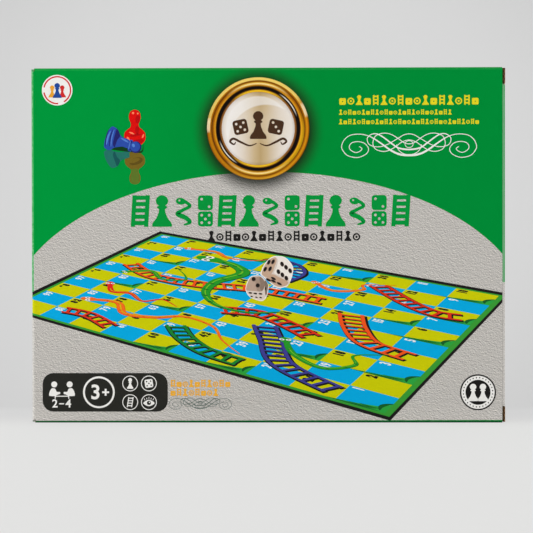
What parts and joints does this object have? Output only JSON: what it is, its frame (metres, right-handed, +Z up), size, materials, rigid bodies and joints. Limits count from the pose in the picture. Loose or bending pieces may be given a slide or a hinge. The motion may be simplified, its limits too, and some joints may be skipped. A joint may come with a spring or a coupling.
{
  "type": "boxed board game",
  "caption": "Printed corrugated tuck-end carton standing on its long edge, with a folded snakes and ladders board, card insert, pawns and dice inside.",
  "frame": {"origin": "middle of the carton's base, on the surface it stands on", "axes": "+Z up, +X to the right of the printed front along the carton's length, +Y from the printed front to the back"},
  "size_m": [0.3, 0.04, 0.225],
  "materials": {
    "printed_board": "satin",
    "kraft_board": "matte",
    "board_wrap": "satin",
    "board_print": "satin",
    "spine_tape": "matte",
    "insert_card": "matte",
    "leaflet_paper": "matte",
    "pawn_red": "gloss",
    "pawn_blue": "gloss",
    "pawn_yellow": "gloss",
    "pawn_green": "gloss",
    "die_ivory": "gloss"
  },
  "bodies": {
    "carton": {"front_panel": "printed_board", "back_panel": "printed_board", "top_panel": "printed_board", "bottom_panel": "printed_board", "glue_flap": "kraft_board", "board_leaf_front": "board_wrap", "board_leaf_back": "board_wrap", "board_sheet_front": "board_print", "board_sheet_back": "board_print", "board_spine": "spine_tape", "insert_card": "insert_card", "rules_leaflet": "leaflet_paper", "pawn_red": "pawn_red", "pawn_blue": "pawn_blue", "pawn_yellow": "pawn_yellow", "pawn_green": "pawn_green", "die_left": "die_ivory", "die_right": "die_ivory"},
    "right_closure": {"right_closure": "printed_board"},
    "right_tuck_flap": {"right_tuck_flap": "printed_board"},
    "right_dust_flap_upper": {"right_dust_flap_upper": "kraft_board"},
    "right_dust_flap_lower": {"right_dust_flap_lower": "kraft_board"},
    "left_closure": {"left_closure": "printed_board"},
    "left_tuck_flap": {"left_tuck_flap": "printed_board"},
    "left_dust_flap_upper": {"left_dust_flap_upper": "kraft_board"},
    "left_dust_flap_lower": {"left_dust_flap_lower": "kraft_board"}
  },
  "joints": [
    {"name": "right_closure_hinge", "type": "hinge", "parent": "carton", "child": "right_closure", "pos_m": [0.15, 0.02, 0], "axis": [0, 0, 1], "range_deg": [0, 150]},
    {"name": "right_tuck_fold", "type": "hinge", "parent": "right_closure", "child": "right_tuck_flap", "pos_m": [0.14835, -0.01645, 0], "axis": [0, 0, -1], "range_deg": [0, 30]},
    {"name": "right_dust_fold_upper", "type": "hinge", "parent": "carton", "child": "right_dust_flap_upper", "pos_m": [0.1482, 0, 0.225], "axis": [0, -1, 0], "range_deg": [0, 90]},
    {"name": "right_dust_fold_lower", "type": "hinge", "parent": "carton", "child": "right_dust_flap_lower", "pos_m": [0.1482, 0, 0], "axis": [0, 1, 0], "range_deg": [0, 90]},
    {"name": "left_closure_hinge", "type": "hinge", "parent": "carton", "child": "left_closure", "pos_m": [-0.15, -0.02, 0], "axis": [0, 0, 1], "range_deg": [0, 150]},
    {"name": "left_tuck_fold", "type": "hinge", "parent": "left_closure", "child": "left_tuck_flap", "pos_m": [-0.14835, 0.01645, 0], "axis": [0, 0, -1], "range_deg": [0, 30]},
    {"name": "left_dust_fold_upper", "type": "hinge", "parent": "carton", "child": "left_dust_flap_upper", "pos_m": [-0.1482, 0, 0.225], "axis": [0, 1, 0], "range_deg": [0, 90]},
    {"name": "left_dust_fold_lower", "type": "hinge", "parent": "carton", "child": "left_dust_flap_lower", "pos_m": [-0.1482, 0, 0], "axis": [0, -1, 0], "range_deg": [0, 90]}
  ],
  "couplings": [
    {"joint": "right_tuck_fold", "follows": "right_closure_hinge", "ratio": 0.2},
    {"joint": "right_dust_fold_upper", "follows": "right_closure_hinge", "ratio": 0.6},
    {"joint": "right_dust_fold_lower", "follows": "right_closure_hinge", "ratio": 0.6},
    {"joint": "left_tuck_fold", "follows": "left_closure_hinge", "ratio": 0.2},
    {"joint": "left_dust_fold_upper", "follows": "left_closure_hinge", "ratio": 0.6},
    {"joint": "left_dust_fold_lower", "follows": "left_closure_hinge", "ratio": 0.6}
  ]
}
